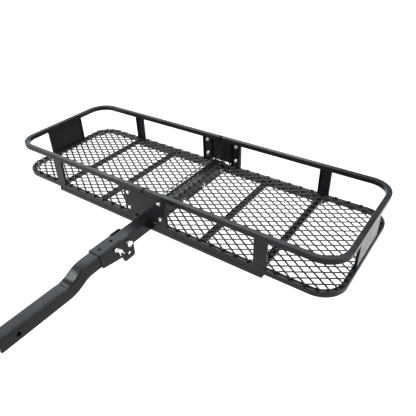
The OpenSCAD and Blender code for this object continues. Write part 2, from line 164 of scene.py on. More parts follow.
def rounded_square(half, edge_r, steps):
    """Points (u, v) round a square with rounded corners, with steps to each corner."""
    points = []
    for cu, cv, start in ((1, 1, 0), (-1, 1, 90), (-1, -1, 180), (1, -1, 270)):
        for i in range(steps + 1):
            a = math.radians(start + i * 90 / steps)
            u = cu * (half - edge_r) + edge_r * math.cos(a)
            v = cv * (half - edge_r) + edge_r * math.sin(a)
            points.append((u, v))
    return points


def frames_along(points):
    """A (point, side, up) frame at each point of a path, turning as little as possible."""
    count = len(points)
    tangents = []
    for i in range(count):
        a, b = points[max(i - 1, 0)], points[min(i + 1, count - 1)]
        tangents.append((b - a).normalized())
    up = Vector((0, 0, 1)) if abs(tangents[0].z) < 0.9 else Vector((1, 0, 0))
    frames = []
    for point, along in zip(points, tangents):
        side = along.cross(up).normalized()
        up = side.cross(along).normalized()
        frames.append((point, side, up))
    return frames


def circle(point, side, up, r, segments):
    """Points round a circle in the plane of side and up."""
    angles = [2 * math.pi * k / segments for k in range(segments)]
    return [point + side * r * math.cos(a) + up * r * math.sin(a) for a in angles]


def rod(bm, points, radii, segments):
    """A round rod with flat ends along a path, with a radius for each point."""
    loft(bm, [circle(*place, r, segments) for place, r in zip(frames_along(points), radii)])


def wire(bm, points, r, segments):
    """A round wire with domed ends along a path."""
    frames = frames_along(points)
    rings = [circle(*place, r, segments) for place in frames]
    tips = []
    for end, beside in ((0, 1), (-1, -2)):
        point, side, up = frames[end]
        along = (points[end] - points[beside]).normalized()
        tips.append(circle(point + along * r * 0.35, side, up, r * 0.6, segments))
    loft(bm, [tips[0], *rings, tips[1]])


def solids_of(node):
    """The box of every separate solid in a CAD node, as (lowest corner, highest corner)."""
    mesh = nodes[node].data
    group = {}

    def top_of(key):
        while group[key] != key:
            key = group[key]
        return key

    keys = [tuple(round(c, 5) for c in v.co) for v in mesh.vertices]
    for key in keys:
        group.setdefault(key, key)
    for polygon in mesh.polygons:
        first = top_of(keys[polygon.vertices[0]])
        for i in polygon.vertices[1:]:
            group[top_of(keys[i])] = first
    boxes = {}
    for key in group:
        low, high = boxes.get(top_of(key), (key, key))
        boxes[top_of(key)] = (tuple(map(min, low, key)), tuple(map(max, high, key)))
    return [(Vector(low), Vector(high)) for low, high in sorted(boxes.values())]


# ---------- Materials ----------

def shader(name):
    """A new material's node tree, its Principled shader and a maker of linked nodes."""
    material = bpy.data.materials.new(name)
    material.use_nodes = True
    tree = material.node_tree
    bsdf = tree.nodes["Principled BSDF"]

    def node(kind, **values):
        made = tree.nodes.new(kind)
        for key, value in values.items():
            if key in made.inputs:
                made.inputs[key].default_value = value
            else:
                setattr(made, key, value)
        return made

    return material, tree, bsdf, node


def noise(tree, node, scale, detail=3.0, roughness=0.5):
    """Noise in the object's own metres."""
    place = node("ShaderNodeTexCoord")
    made = node("ShaderNodeTexNoise", Scale=scale, Detail=detail, Roughness=roughness)
    tree.links.new(place.outputs["Object"], made.inputs["Vector"])
    return made.outputs["Fac"]


def ramp(tree, node, source, low, high, start=0.3, end=0.7):
    """Maps a grey value between start and end to the colours or greys low and high."""
    made = node("ShaderNodeValToRGB")
    elements = made.color_ramp.elements
    for element, at, value in ((elements[0], start, low), (elements[1], end, high)):
        element.position = at
        element.color = (*value, 1) if isinstance(value, tuple) else (value, value, value, 1)
    tree.links.new(source, made.inputs["Fac"])
    return made.outputs["Color"]


def bump(tree, node, height, strength, distance, below=None):
    """A bump from a height, on top of the one below."""
    made = node("ShaderNodeBump", Strength=strength, Distance=distance)
    tree.links.new(height, made.inputs["Height"])
    if below:
        tree.links.new(below, made.inputs["Normal"])
    return made.outputs["Normal"]


def powder_coat(name, dark, light, roughness, specular):
    """Black powder coat: orange peel, a fine speckle and slow changes of gloss."""
    material, tree, bsdf, node = shader(name)
    colour = ramp(tree, node, noise(tree, node, 9, 4), dark, light)
    speckle = ramp(tree, node, noise(tree, node, 1400, 2), 0.82, 1.0, 0.42, 0.58)
    mix = node("ShaderNodeMix", data_type="RGBA", blend_type="MULTIPLY")
    mix.inputs["Factor"].default_value = 1
    tree.links.new(colour, mix.inputs["A"])
    tree.links.new(speckle, mix.inputs["B"])
    tree.links.new(mix.outputs["Result"], bsdf.inputs["Base Color"])
    gloss = ramp(tree, node, noise(tree, node, 25, 5), roughness - 0.05, roughness + 0.07)
    tree.links.new(gloss, bsdf.inputs["Roughness"])
    peel = bump(tree, node, noise(tree, node, 520, 2), 0.30, 0.00025)
    grain = bump(tree, node, noise(tree, node, 2600, 1), 0.15, 0.00008, peel)
    tree.links.new(grain, bsdf.inputs["Normal"])
    bsdf.inputs["Specular IOR Level"].default_value = specular
    return material


def zinc_plate(name):
    """Bright zinc: metal with a faint blue and straw bloom and fine handling marks."""
    material, tree, bsdf, node = shader(name)
    bloom = ramp(tree, node, noise(tree, node, 160, 3), (0.88, 0.90, 0.93), (0.97, 0.96, 0.93))
    tree.links.new(bloom, bsdf.inputs["Base Color"])
    gloss = ramp(tree, node, noise(tree, node, 420, 4), 0.20, 0.42)
    tree.links.new(gloss, bsdf.inputs["Roughness"])
    marks = bump(tree, node, noise(tree, node, 900, 4), 0.12, 0.0001)
    tree.links.new(marks, bsdf.inputs["Normal"])
    bsdf.inputs["Metallic"].default_value = 1.0
    return material


def moulded_plastic(name):
    """Black plastic with a fine moulded grain."""
    material, tree, bsdf, node = shader(name)
    dark, light = (0.0030, 0.0030, 0.0032), (0.0048, 0.0048, 0.0052)
    tree.links.new(ramp(tree, node, noise(tree, node, 60, 3), dark, light), bsdf.inputs["Base Color"])
    gloss = ramp(tree, node, noise(tree, node, 300, 3), 0.48, 0.62)
    tree.links.new(gloss, bsdf.inputs["Roughness"])
    grain = bump(tree, node, noise(tree, node, 1800, 2), 0.35, 0.0001)
    tree.links.new(grain, bsdf.inputs["Normal"])
    bsdf.inputs["Specular IOR Level"].default_value = 0.05
    return material


def pale_floor(name):
    """A white studio floor that glows a little, so that its edge is lost in the background."""
    material, tree, bsdf, node = shader(name)
    bsdf.inputs["Base Color"].default_value = (0.30, 0.30, 0.30, 1)
    bsdf.inputs["Roughness"].default_value = 0.9
    bsdf.inputs["Specular IOR Level"].default_value = 0.0
    bsdf.inputs["Emission Color"].default_value = (1, 1, 1, 1)
    bsdf.inputs["Emission Strength"].default_value = 0.78
    return material


MATERIAL_OF_SLOT = {
    "black_coat": powder_coat("frame_coat", (0.0050, 0.0054, 0.0060), (0.0080, 0.0089, 0.0104), 0.22, 0.14),
    "grey_coat": powder_coat("rail_coat", (0.0060, 0.0066, 0.0074), (0.0100, 0.0111, 0.0128), 0.22, 0.12),
    "mesh_coat": powder_coat("mesh_coat", (0.0045, 0.0048, 0.0052), (0.0065, 0.0071, 0.0080), 0.28, 0.20),
    "zinc_steel": zinc_plate("zinc_plate"),
    "plug_plastic": moulded_plastic("plug_plastic"),
}


# ---------- CAD nodes that stay ----------

# Edge rounds by the ending of a node's name; the other nodes keep their own edges
EASED = {
    "hinge_bracket": 0.0016,
    "crossbar": 0.0009,
    "centre_angle": 0.0010,
    "end_plate": 0.0009,
    "post": 0.0009,
    "joint_upright": 0.0009,
    "joint_plate": 0.0010,
    "main_tube_plug": 0.0006,
}


def finish_cad_nodes():
    """Gives every CAD node its material and smooth shading, and the nodes in EASED their edge rounds."""
    slots = {s["node"]: s["material_slot"] for s in frame["record"]["subparts"]}
    for name, obj in nodes.items():
        obj.data.materials.clear()
        obj.data.materials.append(MATERIAL_OF_SLOT[slots[name]])
        obj.data.shade_smooth()
        weld = obj.modifiers.new("weld", "WELD")
        weld.merge_threshold = 0.00001
        width = next((w for ending, w in EASED.items() if name.endswith(ending)), 0)
        if width:
            flat = obj.modifiers.new("flat", "DECIMATE")
            flat.decimate_type = "DISSOLVE"
            flat.angle_limit = math.radians(1)
            bevel = obj.modifiers.new("bevel", "BEVEL")
            bevel.width = width
            bevel.segments = 3
            bevel.limit_method = "ANGLE"
            bevel.angle_limit = math.radians(40)
        add_smooth_modifier(obj)
        normals = obj.modifiers.new("normals", "WEIGHTED_NORMAL")
        normals.keep_sharp = True
        normals.weight = 100


def add_smooth_modifier(obj):
    """Shades smooth across edges that turn by less than CAD_SMOOTH, and leaves the CAD mesh as it is."""
    group = bpy.data.node_groups.get("smooth_by_angle")
    if group is None:
        group = bpy.data.node_groups.new("smooth_by_angle", "GeometryNodeTree")
        group.interface.new_socket("Geometry", in_out="INPUT", socket_type="NodeSocketGeometry")
        group.interface.new_socket("Geometry", in_out="OUTPUT", socket_type="NodeSocketGeometry")
        start = group.nodes.new("NodeGroupInput")
        end = group.nodes.new("NodeGroupOutput")
        between = group.nodes.new("GeometryNodeInputMeshEdgeAngle")
        compare = group.nodes.new("FunctionNodeCompare")
        compare.operation = "LESS_EQUAL"
        compare.inputs["B"].default_value = CAD_SMOOTH
        smooth = group.nodes.new("GeometryNodeSetShadeSmooth")
        smooth.domain = "EDGE"
        link = group.links.new
        link(between.outputs["Unsigned Angle"], compare.inputs["A"])
        link(start.outputs["Geometry"], smooth.inputs["Geometry"])
        link(compare.outputs["Result"], smooth.inputs["Shade Smooth"])
        link(smooth.outputs["Geometry"], end.inputs["Geometry"])
    modifier = obj.modifiers.new("smooth", "NODES")
    modifier.node_group = group


# ---------- Mesh floor ----------

# The diamonds' long way lies along X and their short way along Y
MESH_LONG = 0.051
MESH_SHORT = 0.032
STRAND_WIDE = 0.0068
STRAND_THICK = 0.0048
STRAND_TILT = math.radians(33)
BOND = 0.004
MESH_START = 0.0155
MESH_INSET = 0.004
MESH_SINK = 0.0004
CORNER_R = 0.084
# Next to the centre tube the floor climbs on to the angles and stops short of the joint plates
RAMP_START = TUBE_HALF + 0.004
RAMP_LENGTH = 0.034
CLIMB = FLOOR_HIGH.z - RAIL_TOP - 0.0024
RAISED_INSET = 0.013


def climb_at(x):
    """How far the floor has climbed towards the centre tube at |x|."""
    t = min(max((x - RAMP_START) / RAMP_LENGTH, 0), 1)
    return CLIMB * (1 - t * t * (3 - 2 * t))


def floor_obstacles():
    """Plan boxes that the mesh is cut round: the uprights and the end plate."""
    gap = 0.0012
    names = [f"{end}_right_{kind}" for end in ("front", "rear") for kind in ("post", "joint_upright")]
    boxes = []
    for low, high in (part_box(name) for name in names + ["right_end_plate"]):
        boxes.append((low.x - gap, low.y - gap, high.x + gap, high.y + gap))
    return boxes


def inside_floor(x, y, obstacles):
    """Whether a point of the right half lies within the mesh's outline."""
    half_y = (FLOOR_HIGH.y - FLOOR_LOW.y) / 2 - MESH_INSET
    end_x = FLOOR_HIGH.x - MESH_INSET
    away = abs(y - TRAY_Y)
    if x < RAMP_START and away > half_y - RAISED_INSET:
        return False
    if not MESH_START <= x <= end_x or away > half_y:
        return False
    dx, dy = x - (end_x - CORNER_R), away - (half_y - CORNER_R)
    if dx > 0 and dy > 0 and math.hypot(dx, dy) > CORNER_R:
        return False
    return not any(x0 < x < x1 and y0 < y < y1 for x0, y0, x1, y1 in obstacles)


def strand_wave(x, row):
    """From 1 at a strand's crests to -1 at its troughs, level along each bond."""
    crest = MESH_LONG * (0.25 if row % 2 == 0 else 0.75)
    away = abs((x - crest + MESH_LONG / 2) % MESH_LONG - MESH_LONG / 2)
    t = (away - BOND / 2) / (MESH_LONG / 2 - BOND)
    return 1 - 2 * min(max(t, 0), 1)


def strand_y(x, row):
    """Where a strand's middle runs."""
    return TRAY_Y + (row + 0.5 + strand_wave(x, row) / 2) * MESH_SHORT / 2


def strand_ring(x, row, side):
    """One section of a strand: a tilted flat bar with eased corners."""
    wide = Vector((0, math.cos(STRAND_TILT), -math.sin(STRAND_TILT)))
    thick = Vector((0, math.sin(STRAND_TILT), math.cos(STRAND_TILT)))
    wave = strand_wave(x, row)
    half_w, half_t = STRAND_WIDE / 2, STRAND_THICK / 2
    rest = RAIL_TOP + STRAND_WIDE * math.sin(STRAND_TILT) + half_t * math.cos(STRAND_TILT) - MESH_SINK
    middle = Vector((side * x, strand_y(x, row), rest + climb_at(x)))
    middle -= wide * wave * (half_w - 0.00006)
    ease, crown = 0.0005, 0.0015
    corners = (
        (half_w, half_t - ease), (half_w - ease, half_t),
        (-half_w + crown, half_t), (-half_w, half_t - crown),
        (-half_w, -half_t + ease), (-half_w + ease, -half_t),
        (half_w - ease, -half_t), (half_w, -half_t + ease),
    )
    return [middle + wide * w + thick * t for w, t in corners]


def strand_stops():
    """The places along a strand that need a section."""
    stops = {MESH_START, FLOOR_HIGH.x}
    for i in range(-1, int(FLOOR_HIGH.x / (MESH_LONG / 2)) + 2):
        centre = MESH_LONG / 4 + i * MESH_LONG / 2
        stops.update({centre - BOND / 2, centre + BOND / 2})
    steps = 8
    stops.update(RAMP_START + RAMP_LENGTH * i / steps for i in range(steps + 1))
    return sorted(s for s in stops if MESH_START <= s <= FLOOR_HIGH.x)


def strand_runs(row, obstacles):
    """The stretches (from, to) of a strand that lie inside the floor's outline."""
    step = 0.0005
    runs, start = [], None
    count = int((FLOOR_HIGH.x - MESH_START) / step)
    for i in range(count + 1):
        x = MESH_START + i * step
        inside = inside_floor(x, strand_y(x, row), obstacles)
        if inside and start is None:
            start = x
        elif not inside and start is not None:
            runs.append((start, x - step))
            start = None
    if start is not None:
        runs.append((start, FLOOR_HIGH.x))
    return [(a, b) for a, b in runs if b - a > BOND * 1.5 and reaches_bond(a, b)]


def reaches_bond(a, b):
    """Whether a stretch takes in a bond, so that it hangs on to its neighbour."""
    quarter = MESH_LONG / 4
    first = math.ceil((a - quarter) / (MESH_LONG / 2))
    return quarter + first * MESH_LONG / 2 <= b


def mesh_floor(name, side):
    """Raised expanded metal on one half: wavy strands, each joined to the next at its bonds."""
    bm = bmesh.new()
    obstacles = floor_obstacles()
    rows = int((FLOOR_HIGH.y - FLOOR_LOW.y) / MESH_SHORT) + 1
    stops = strand_stops()
    least = 0.0004
    for row in range(-rows, rows):
        for a, b in strand_runs(row, obstacles):
            xs = [a] + [s for s in stops if a + least < s < b - least] + [b]
            loft(bm, [strand_ring(x, row, side) for x in xs])
    replaced = [n for n in nodes if n.startswith(f"{name}_mesh_")]
    add_piece(f"{name}_expanded_mesh", bm, "basket", "mesh_coat", replaced)


# ---------- Rail ends ----------

CAP_LENGTH = 0.0044
CAP_PROUD = 0.00005
CAP_EDGE_R = 0.0028
CAP_EASE = 0.0004
CAP_LIP = 0.0012
CAP_HOLLOW = 0.0014


def end_cap(bm, x, y, z, side):
    """A hollowed black cap over the rail end at (x, y, z); the rail runs on from it towards side."""
    outer = RAIL / 2 + CAP_PROUD
    lip = outer - CAP_LIP
    sections = (
        (CAP_LENGTH, outer, CAP_EDGE_R), (CAP_EASE, outer, CAP_EDGE_R),
        (0, outer - CAP_EASE, CAP_EDGE_R - CAP_EASE), (0, lip, 0.0018),
        (CAP_HOLLOW, lip - CAP_EASE, 0.0016),
    )
    loft(bm, [
        [Vector((x + side * at, y + u, z + v)) for u, v in rounded_square(half, edge_r, 4)]
        for at, half, edge_r in sections
    ])


def rail_caps():
    """The caps on the rail ends that face each other across the split."""
    bm = bmesh.new()
    for side, half in ((-1, "left"), (1, "right")):
        for level in ("top", "bottom"):
            low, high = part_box(f"{half}_{level}_rail")
            inner = high.x if side < 0 else low.x
            ends = [(inner, high.y - RAIL / 2)]
            if level == "top":
                ends.append((inner, low.y + RAIL / 2))
            for x, y in ends:
                end_cap(bm, x, y, (low.z + high.z) / 2, side)
    add_piece("rail_end_caps", bm, "basket", "plug_plastic")


# ---------- Fasteners ----------

WASHER_FACE = 0.0012
WASHER_EASE = 0.0003
HOLE_GAP = 0.0001
PIVOT_BOLT_R = 0.00794


def hex_radius(angle, flats):
    """The radius of a hexagon at an angle, from its width across flats."""
    sixth = math.radians(60)
    return flats / 2 / math.cos((angle + sixth / 2) % sixth - sixth / 2)


def hex_solid(bm, place, x0, x1, flats, chamfer_low, chamfer_high):
    """A hexagon round the X axis whose corners are turned off at one end or both."""
    depth = flats * 0.07
    slope = 1.9
    corner = flats / math.sqrt(3)

    def radius(x, angle):
        limit = corner
        if chamfer_low and x < x0 + depth:
            limit = corner - (x0 + depth - x) * slope
        if chamfer_high and x > x1 - depth:
            limit = corner - (x - x1 + depth) * slope
        return min(hex_radius(angle, flats), limit)

    xs = [x0, x0 + depth / 2, x0 + depth, (x0 + x1) / 2, x1 - depth, x1 - depth / 2, x1]
    turned(bm, place, xs, radius, 72)


def bolt_head(bm, place, height, flats, face_r):
    """A hexagonal head with a round washer face of radius face_r under it."""
    face = WASHER_FACE + 0.0002
    hex_solid(bm, place, WASHER_FACE, height, flats, False, True)
    turned(bm, place, [0, face / 2, face], lambda x, angle: face_r - (0.0004 if x > 0 else 0), 48)


def threaded_rod(bm, place, x0, x1, r, pitch, chamfer=0.0006):
    """A rod round the X axis with a helical thread."""
    steps = max(int((x1 - x0) / (pitch / 5)), 2)
    depth = pitch * 0.45

    def radius(x, angle):
        phase = (x / pitch - angle / (2 * math.pi)) % 1
        cut = depth * abs(2 * phase - 1)
        end = max(chamfer - min(x - x0, x1 - x), 0)
        return r - cut - end

    turned(bm, place, [x0 + (x1 - x0) * i / steps for i in range(steps + 1)], radius, 28)


def plain_rod(bm, place, x0, x1, r, segments=40):
    """A rod round the X axis with eased ends."""
    ease = 0.0005
    xs = [x0, x0 + ease, x1 - ease, x1]
    turned(bm, place, xs, lambda x, angle: r - ease if x in (x0, x1) else r, segments)


def facing(point, direction):
    """A matrix that takes +X at the origin to direction at point."""
    return Matrix.Translation(point) @ Vector(direction).to_track_quat("X", "Z").to_matrix().to_4x4()


def washer_set(boxes, axis, hole_r, segments=40):
    """A washer in each box, round axis."""
    bm = bmesh.new()
    for low, high in boxes:
        size = high - low
        thick, outer = (size.x, size.y) if axis == X_AXIS else (size.y, size.x)
        place = facing((low + high) / 2, axis)
        ring_solid(bm, place, -thick / 2, thick / 2, hole_r + HOLE_GAP, outer / 2, WASHER_EASE, segments)
    return bm


def nut_set(boxes, axis, flats):
    """A nut in each box, round axis."""
    bm = bmesh.new()
    for low, high in boxes:
        half = (high - low).dot(axis) / 2
        hex_solid(bm, facing((low + high) / 2, axis), -half, half, flats, True, True)
    return bm


def joint_fasteners():
    """The bolts, washers and nuts of the joint plates, whose heads face out of the basket."""
    bolts = bmesh.new()
    flats, head, shank_r, pitch = 0.013, 0.0053, 0.004, 0.00125
    for low, high in solids_of("joint_bolts"):
        out = -1 if (low.y + high.y) / 2 < TRAY_Y else 1
        face = (low.y if out < 0 else high.y) - out * head
        place = facing(Vector(((low.x + high.x) / 2, face, (low.z + high.z) / 2)), Y_AXIS * out)
        length = high.y - low.y - head
        bolt_head(bolts, place, head, flats, flats * 0.50)
        threaded_rod(bolts, place, -length, 0.0005, shank_r, pitch)
    washers = washer_set(solids_of("joint_washers"), Y_AXIS, shank_r)
    nuts = nut_set(solids_of("joint_nuts"), Y_AXIS, flats)
    add_piece("joint_bolt_set", bolts, "basket", "zinc_steel", ("joint_bolts",))
    add_piece("joint_washer_set", washers, "basket", "zinc_steel", ("joint_washers",))
    add_piece("joint_nut_set", nuts, "basket", "zinc_steel", ("joint_nuts",))


def through_fasteners():
    """The long bolts through the main tube, with their washers and nuts."""
    bolts = bmesh.new()
    flats, head, shank_r, pitch, thread = 0.017, 0.0064, 0.005, 0.0015, 0.030
    for low, high in solids_of("through_bolts"):
        middle = (low + high) / 2
        place = facing(Vector((high.x - head, middle.y, middle.z)), X_AXIS)
        length = high.x - low.x - head
        bolt_head(bolts, place, head, flats, flats * 0.48)
        plain_rod(bolts, place, -length + thread, 0.0005, shank_r)
        threaded_rod(bolts, place, -length, -length + thread + 0.001, shank_r, pitch)
    washers = washer_set(solids_of("through_washers"), X_AXIS, shank_r)
    nuts = nut_set(solids_of("through_nuts"), X_AXIS, flats)
    add_piece("through_bolt_set", bolts, "basket", "zinc_steel", ("through_bolts",))
    add_piece("through_washer_set", washers, "basket", "zinc_steel", ("through_washers",))
    add_piece("through_nut_set", nuts, "basket", "zinc_steel", ("through_nuts",))


def pivot_fasteners():
    """The pivot bolt with its nut and washers, through the hinge bracket."""
    bolt = bmesh.new()
    flats, head, pitch, thread = 0.022, 0.010, 0.0019, 0.022
    low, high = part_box("pivot_bolt")
    place = facing(Vector((high.x - head, PIVOT.y, PIVOT.z)), X_AXIS)
    length = high.x - low.x - head
    bolt_head(bolt, place, head, flats, flats * 0.48)
    plain_rod(bolt, place, -length + thread - 0.001, 0.0005, PIVOT_BOLT_R)
    threaded_rod(bolt, place, -length, -length + thread, PIVOT_BOLT_R, pitch, 0.001)
    washers = washer_set(solids_of("pivot_washers"), X_AXIS, PIVOT_BOLT_R, 56)
    nut = nut_set([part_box("pivot_nut")], X_AXIS, flats)
    add_piece("pivot_bolt_turned", bolt, "hitch", "zinc_steel", ("pivot_bolt",))
    add_piece("pivot_washer_pair", washers, "hitch", "black_coat", ("pivot_washers",))
    add_piece("pivot_nut_turned", nut, "hitch", "zinc_steel", ("pivot_nut",))


# ---------- Lock pin and clip ----------

LOCK_AXIS_Y = PIVOT.y - 0.048
LOCK_R = 0.0064
HANDLE_BEND_R = 0.016
PIN_CHAMFER = 0.003
COLLAR_THICK = 0.003
COLLAR_PROUD = 0.004
CLIP_WIRE = 0.0016
CLIP_TILT = math.radians(125)
CLIP_LEG = 0.026
CLIP_LOOP_R = 0.006
CLIP_LOOP_AT = 0.021
CLIP_NECK_R = 0.003
CLIP_FLARE = 0.012


def arc_points(centre, r, start, turn, steps):
    """Points (u, v) on an arc from start through turn, both in degrees."""
    angles = [math.radians(start + turn * i / steps) for i in range(steps + 1)]
    return [(centre[0] + r * math.cos(a), centre[1] + r * math.sin(a)) for a in angles]


def lock_pin():
    """The bent hitch pin: handle, bend, collar, body and chamfered tip."""
    low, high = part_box("lock_pin")
    y, z = LOCK_AXIS_Y, PIVOT.z
    handle_x = low.x + LOCK_R
    bend_x = handle_x + HANDLE_BEND_R
    dome = LOCK_R * 0.35
    tip = high.x - PIN_CHAMFER
    path = [(handle_x, low.z + dome), (handle_x, low.z + 0.02)]
    path += [(x, z + down) for x, down in arc_points((bend_x, -HANDLE_BEND_R), HANDLE_BEND_R, 180, -90, 16)]
    path += [(0, z), (tip, z)]
    bm = bmesh.new()
    rod(bm, [Vector((at_x, y, at_z)) for at_x, at_z in path], [LOCK_R] * len(path), 32)
    point = facing(Vector((tip, y, z)), X_AXIS)
    turned(bm, point, [-0.0002, 0, PIN_CHAMFER], lambda x, a: LOCK_R - (0.0022 if x > 0.001 else 0), 32)
    collar = facing(Vector((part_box("hinge_bracket")[0].x - 0.005, y, z)), X_AXIS)
    ring_solid(bm, collar, 0, COLLAR_THICK, LOCK_R - 0.0003, LOCK_R + COLLAR_PROUD, 0.0006)
    end = facing(Vector((handle_x, y, low.z + dome)), (0, 0, -1))
    turned(bm, end, [-0.0001, 0.0012, dome], lambda x, a: LOCK_R - (0 if x < 0.001 else x * 0.9), 32)
    add_piece("lock_pin_bent", bm, "lock_pin", "zinc_steel", ("lock_pin",))


def r_clip_path():
    """The clip's wire as (u, v) points: straight leg, loop, neck and a flared leg over the pin."""
    over_r = LOCK_R + CLIP_WIRE + 0.0004
    dip = 32
    flare = math.radians(25)
    loop = Vector((CLIP_LOOP_AT, CLIP_LOOP_R))
    neck = (over_r + CLIP_NECK_R) * Vector((math.cos(math.radians(dip)), math.sin(math.radians(dip))))
    between = loop - neck
    slope = math.degrees(
        math.atan2(between.y, between.x) + math.asin((CLIP_LOOP_R + CLIP_NECK_R) / between.length)
    )
    path = [(-CLIP_LEG, 0), (-0.010, 0), (0.010, 0)]
    path += arc_points(loop, CLIP_LOOP_R, -90, 180 + slope, 28)
    path += arc_points(neck, CLIP_NECK_R, slope - 90, -(90 + slope - dip), 12)
    path += arc_points((0, 0), over_r, dip, 90 - dip, 10)[1:]
    path += [(-0.004, over_r), (-0.005, over_r + 0.0003)]
    path += [(-0.004 - CLIP_FLARE * math.cos(flare), over_r + CLIP_FLARE * math.sin(flare))]
    return path


def r_clip():
    """The wire clip through the lock pin, in a plane across the pin."""
    low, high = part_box("lock_pin_clip")
    turn = Matrix.Rotation(CLIP_TILT, 4, "X")
    at = Matrix.Translation(((low.x + high.x) / 2, LOCK_AXIS_Y, PIVOT.z))
    bm = bmesh.new()
    wire(bm, [at @ turn @ Vector((0, u, v)) for u, v in r_clip_path()], CLIP_WIRE, 16)
    add_piece("r_clip_wire", bm, "r_clip", "zinc_steel", ("lock_pin_clip",))


# ---------- Shank ----------

SHANK_BEND_FROM = 0.185
SHANK_BEND_TO = 0.300
SHANK_EDGE_R = 0.006
SHANK_WALL = 0.005
SHANK_BORE_R = 0.0015
SHANK_END_EASE = 0.0008
PIN_HOLE_R = 0.0083
PINCH_Y = 0.192
PINCH_LONG = 0.011
PINCH_DEEP = 0.0035
PINCH_BULGE = 0.018


def shank_path():
    """The shank's centre line as (y, z, slope angle), from the receiver end to the bracket."""
    low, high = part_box("hitch_shank")
    length = SHANK_BEND_TO - SHANK_BEND_FROM
    angle = 2 * math.atan(PIVOT.z / length)
    r = length / 2 / math.sin(angle)
    steps = 20
    path = [(low.y, 0, 0), (low.y + 0.002, 0, 0), (0.1, 0, 0)]
    path += [(0.1 + (SHANK_BEND_FROM - 0.1) * i / 10, 0, 0) for i in range(1, 10)]
    for i in range(steps + 1):
        a = angle * i / steps
        path.append((SHANK_BEND_FROM + r * math.sin(a), r * (1 - math.cos(a)), a))
    for i in range(steps - 1, -1, -1):
        a = angle * i / steps
        path.append((SHANK_BEND_TO - r * math.sin(a), PIVOT.z - r * (1 - math.cos(a)), a))
    path += [(0.33, PIVOT.z, 0), (high.y - 0.002, PIVOT.z, 0), (high.y, PIVOT.z, 0)]
    return path


def tube_ring(place, half, edge_r):
    """A rounded square section of the shank; pinched in on top where the lower bend starts."""
    y, z, slope = place
    pinch = math.exp(-((y - PINCH_Y) / PINCH_LONG) ** 2)
    ring = []
    for x, up in rounded_square(half, edge_r, 8):
        middle = 1 - 0.45 * abs(x / half) ** 3
        if up > 0:
            up -= PINCH_DEEP * pinch * middle * (up / half) ** 2
            x *= 1 + PINCH_BULGE * pinch * (1 - abs(up / half - 0.5))
        ring.append(Vector((x, y - up * math.sin(slope), z + up * math.cos(slope))))
    return ring


def drawn_in(ring):
    """An end section made a little narrower, with its lower half raised, which eases the end's edges."""
    level = ring[0].z - 0.001
    narrow = 1 - SHANK_END_EASE / TUBE_HALF
    return [Vector((p.x * narrow, p.y, p.z + (SHANK_END_EASE if p.z < level else 0))) for p in ring]


def cut(obj, cutter):
    """Cuts the solid cutter out of obj and deletes it."""
    boolean = obj.modifiers.new("cut", "BOOLEAN")
    boolean.object = cutter
    boolean.solver = "EXACT"
    view = bpy.context.evaluated_depsgraph_get()
    made = bpy.data.meshes.new_from_object(obj.evaluated_get(view))
    obj.modifiers.clear()
    obj.data = made
    bpy.data.objects.remove(cutter)


def shank():
    """The formed square tube with its receiver pin hole."""
    path = shank_path()
    bm = bmesh.new()
    outer = [tube_ring(place, TUBE_HALF, SHANK_EDGE_R) for place in path]
    inner = [tube_ring(place, TUBE_HALF - SHANK_WALL, SHANK_BORE_R) for place in path]
    outer[0], outer[-1] = drawn_in(outer[0]), drawn_in(outer[-1])
    loft(bm, outer + inner[::-1], closed=True)
    obj = add_piece("shank_formed", bm, "hitch", "black_coat", ("hitch_shank",))
    drill = bmesh.new()
    plain_rod(drill, Matrix(), -2 * TUBE_HALF, 2 * TUBE_HALF, PIN_HOLE_R, 48)
    bmesh.ops.recalc_face_normals(drill, faces=drill.faces)
    cut(obj, new_object("drill", drill))
    mark_sharp_edges(obj.data)


# ---------- Welds ----------

def weld_bead(bm, start, end, r=0.0020):
    """A rippled bead from start to end."""
    start, end = Vector(start), Vector(end)
    length = (end - start).length
    ripple = 0.0016
    count = max(int(length / (ripple / 4)), 8)
    points = [start.lerp(end, i / count) for i in range(count + 1)]
    phase = chance.random()
    sizes = []
    for i in range(count + 1):
        along = length * i / count
        wave = abs(math.sin(math.pi * (along / ripple + phase)))
        close = min(along, length - along, r) / r
        uneven = 0.86 + 0.14 * wave + chance.uniform(-0.03, 0.03)
        sizes.append(r * (uneven * math.sqrt(max(close, 0.06))))
    rod(bm, points, sizes, 10)


def upright_welds(bm, low, high):
    """Beads round both ends of a post or joint upright."""
    front = (low.y + high.y) / 2 < TRAY_Y
    outer, inner = (low.y, high.y) if front else (high.y, low.y)
    for z in (low.z, high.z):
        weld_bead(bm, (low.x + 0.003, outer, z), (high.x - 0.003, outer, z), 0.0016)
        for x in (low.x, high.x):
            weld_bead(bm, (x, outer, z), (x, inner, z), 0.0018)


def end_plate_welds(bm, low, high):
    """Beads along the top and bottom of an end plate."""
    outer = high.x if high.x > 0 else low.x
    for z in (low.z, high.z):
        weld_bead(bm, (outer, low.y + 0.004, z), (outer, high.y - 0.004, z), 0.0016)
        for y in (low.y, high.y):
            weld_bead(bm, (low.x, y, z), (high.x, y, z), 0.0018)


def crossbar_welds(bm, low, high):
    """Upright beads at the corners of a cross bar's ends."""
    for y in (low.y, high.y):
        for x in (low.x, high.x):
            weld_bead(bm, (x, y, low.z + 0.001), (x, y, high.z - 0.001), 0.0018)


def stitch_welds(bm, low, high):
    """Short beads between a support tube and the rail above it, on both faces."""
    pitch, length, end = 0.120, 0.028, 0.02
    rear = (low.y + high.y) / 2 > TRAY_Y
    inner, outer = (low.y, RAIL_HIGH.y) if rear else (high.y, RAIL_LOW.y)
    count = max(int((high.x - low.x) / pitch), 1)
    for i in range(count + 1):
        x = low.x + end + (high.x - low.x - 2 * end - length) * i / count
        for y in (inner, outer):
            weld_bead(bm, (x, y, high.z), (x + length, y, high.z), 0.0017)


